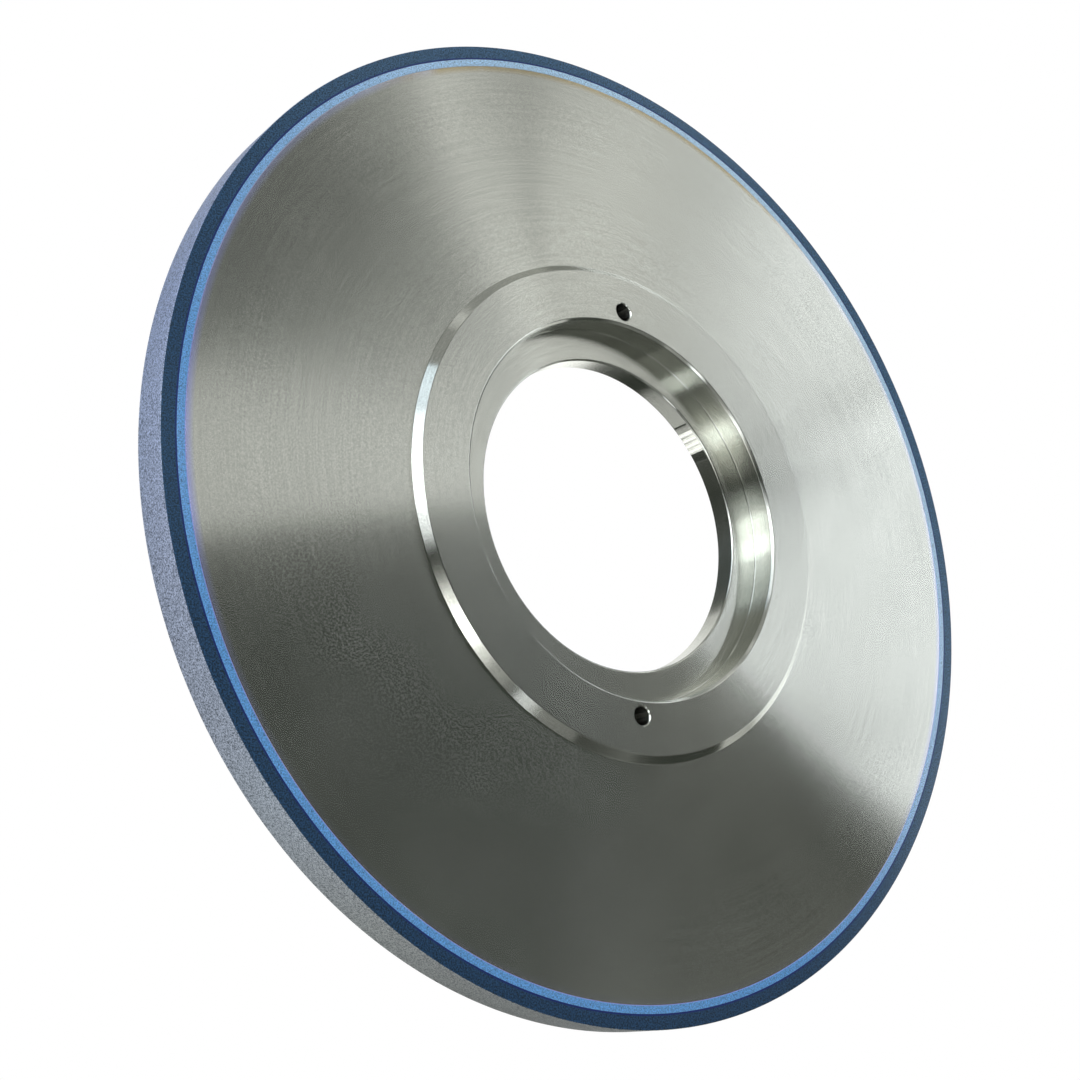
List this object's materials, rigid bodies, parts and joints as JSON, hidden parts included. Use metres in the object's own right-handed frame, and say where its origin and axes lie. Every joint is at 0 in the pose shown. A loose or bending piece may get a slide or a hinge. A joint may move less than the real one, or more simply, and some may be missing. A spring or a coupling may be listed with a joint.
{
  "type": "grinding wheel",
  "caption": "Diamond grinding wheel: turned steel core with raised hub, counterbore and spindle bore, and a blue two-layer segmented vitrified rim glued round its edge.",
  "frame": {"origin": "on the wheel's axis in the plane of the flange seat, which is halfway between the hub's front face and the back face", "axes": "+Y along the spindle axis from front to back, so the raised hub and the counterbore face -Y; +Z from the axis through one of the pair of small hub holes; +X completes the right-handed frame"},
  "size_m": [0.4, 0.0212, 0.4],
  "materials": {
    "turned_steel": "fine-turned steel, satin, with bright chamfers",
    "cured_epoxy": "thin line of cured epoxy adhesive, slightly yellow",
    "vitrified_base": "unglazed porous vitrified base layer, light blue",
    "vitrified_diamond": "unglazed fine-grained vitrified diamond layer, dark blue, with a greyer granular running face"
  },
  "bodies": {
    "root": {"steel_core": "turned_steel", "adhesive_layer": "cured_epoxy", "base_segment_01": "vitrified_base", "base_segment_02": "vitrified_base", "base_segment_03": "vitrified_base", "base_segment_04": "vitrified_base", "base_segment_05": "vitrified_base", "base_segment_06": "vitrified_base", "base_segment_07": "vitrified_base", "base_segment_08": "vitrified_base", "base_segment_09": "vitrified_base", "base_segment_10": "vitrified_base", "base_segment_11": "vitrified_base", "base_segment_12": "vitrified_base", "base_segment_13": "vitrified_base", "base_segment_14": "vitrified_base", "base_segment_15": "vitrified_base", "base_segment_16": "vitrified_base", "base_segment_17": "vitrified_base", "base_segment_18": "vitrified_base", "base_segment_19": "vitrified_base", "base_segment_20": "vitrified_base", "base_segment_21": "vitrified_base", "base_segment_22": "vitrified_base", "base_segment_23": "vitrified_base", "base_segment_24": "vitrified_base", "base_segment_25": "vitrified_base", "base_segment_26": "vitrified_base", "base_segment_27": "vitrified_base", "base_segment_28": "vitrified_base", "abrasive_segment_01": "vitrified_diamond", "abrasive_segment_02": "vitrified_diamond", "abrasive_segment_03": "vitrified_diamond", "abrasive_segment_04": "vitrified_diamond", "abrasive_segment_05": "vitrified_diamond", "abrasive_segment_06": "vitrified_diamond", "abrasive_segment_07": "vitrified_diamond", "abrasive_segment_08": "vitrified_diamond", "abrasive_segment_09": "vitrified_diamond", "abrasive_segment_10": "vitrified_diamond", "abrasive_segment_11": "vitrified_diamond", "abrasive_segment_12": "vitrified_diamond", "abrasive_segment_13": "vitrified_diamond", "abrasive_segment_14": "vitrified_diamond", "abrasive_segment_15": "vitrified_diamond", "abrasive_segment_16": "vitrified_diamond", "abrasive_segment_17": "vitrified_diamond", "abrasive_segment_18": "vitrified_diamond", "abrasive_segment_19": "vitrified_diamond", "abrasive_segment_20": "vitrified_diamond", "abrasive_segment_21": "vitrified_diamond", "abrasive_segment_22": "vitrified_diamond", "abrasive_segment_23": "vitrified_diamond", "abrasive_segment_24": "vitrified_diamond", "abrasive_segment_25": "vitrified_diamond", "abrasive_segment_26": "vitrified_diamond", "abrasive_segment_27": "vitrified_diamond", "abrasive_segment_28": "vitrified_diamond"}
  },
  "joints": []
}
